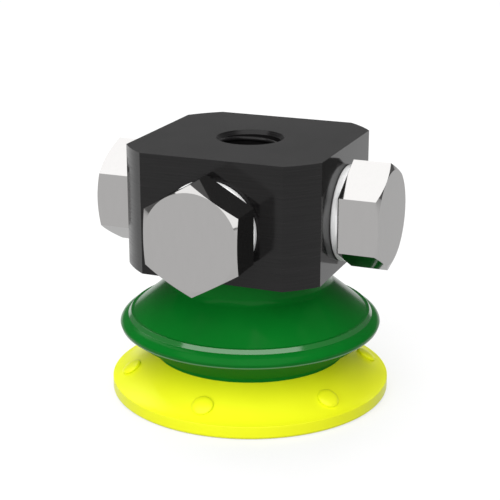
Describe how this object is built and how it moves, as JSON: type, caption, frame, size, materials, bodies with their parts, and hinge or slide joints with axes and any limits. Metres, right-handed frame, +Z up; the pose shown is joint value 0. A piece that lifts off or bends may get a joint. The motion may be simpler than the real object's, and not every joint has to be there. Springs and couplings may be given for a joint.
{
  "type": "bellows suction cup",
  "caption": "Vacuum suction cup with a soft lip under a short bellows, on a square port block with a threaded top port and hexagon-head plugs in its sides.",
  "frame": {"origin": "centre of the plane that the lip seals on, on the cup's axis", "axes": "+Z up the cup's axis towards the top port; the block's flats and its side ports face +X, -X, +Y and -Y, and -Y is the front of the picture's nearest flat"},
  "size_m": [0.022, 0.022, 0.0195],
  "materials": {
    "anodised_black": "satin",
    "bellows_green": "satin",
    "lip_yellow": "satin",
    "plug_metal": "satin",
    "washer_white": "satin"
  },
  "bodies": {
    "block": {"port_block": "anodised_black", "bellows_cup": "bellows_green"},
    "lip": {"sealing_lip": "lip_yellow"},
    "washer_front": {"washer_front": "washer_white"},
    "plug_front": {"plug_front": "plug_metal"},
    "washer_right": {"washer_right": "washer_white"},
    "plug_right": {"plug_right": "plug_metal"},
    "washer_back": {"washer_back": "washer_white"},
    "plug_back": {"plug_back": "plug_metal"},
    "washer_left": {"washer_left": "washer_white"},
    "plug_left": {"plug_left": "plug_metal"}
  },
  "joints": [
    {"name": "bellows_stroke", "type": "slide", "parent": "block", "child": "lip", "axis": [0, 0, 1], "range_m": [0, 0.003], "stiffness_N_per_m": 1000, "deforming": ["bellows_cup"]},
    {"name": "plug_front_travel", "type": "slide", "parent": "block", "child": "washer_front", "axis": [0, -1, 0], "range_m": [0, 0.004]},
    {"name": "plug_front_turn", "type": "hinge", "parent": "washer_front", "child": "plug_front", "pos_m": [0, -0.0075, 0.01455], "axis": [0, -1, 0], "range_deg": [0, 1800]},
    {"name": "plug_right_travel", "type": "slide", "parent": "block", "child": "washer_right", "axis": [1, 0, 0], "range_m": [0, 0.004]},
    {"name": "plug_right_turn", "type": "hinge", "parent": "washer_right", "child": "plug_right", "pos_m": [0.0075, 0, 0.01455], "axis": [1, 0, 0], "range_deg": [0, 1800]},
    {"name": "plug_back_travel", "type": "slide", "parent": "block", "child": "washer_back", "axis": [0, 1, 0], "range_m": [0, 0.004]},
    {"name": "plug_back_turn", "type": "hinge", "parent": "washer_back", "child": "plug_back", "pos_m": [0, 0.0075, 0.01455], "axis": [0, 1, 0], "range_deg": [0, 1800]},
    {"name": "plug_left_travel", "type": "slide", "parent": "block", "child": "washer_left", "axis": [-1, 0, 0], "range_m": [0, 0.004]},
    {"name": "plug_left_turn", "type": "hinge", "parent": "washer_left", "child": "plug_left", "pos_m": [-0.0075, 0, 0.01455], "axis": [-1, 0, 0], "range_deg": [0, 1800]}
  ],
  "couplings": [
    {"joint": "plug_front_turn", "follows": "plug_front_travel", "rad_per_m": 7854},
    {"joint": "plug_right_turn", "follows": "plug_right_travel", "rad_per_m": 7854},
    {"joint": "plug_back_turn", "follows": "plug_back_travel", "rad_per_m": 7854},
    {"joint": "plug_left_turn", "follows": "plug_left_travel", "rad_per_m": 7854}
  ]
}
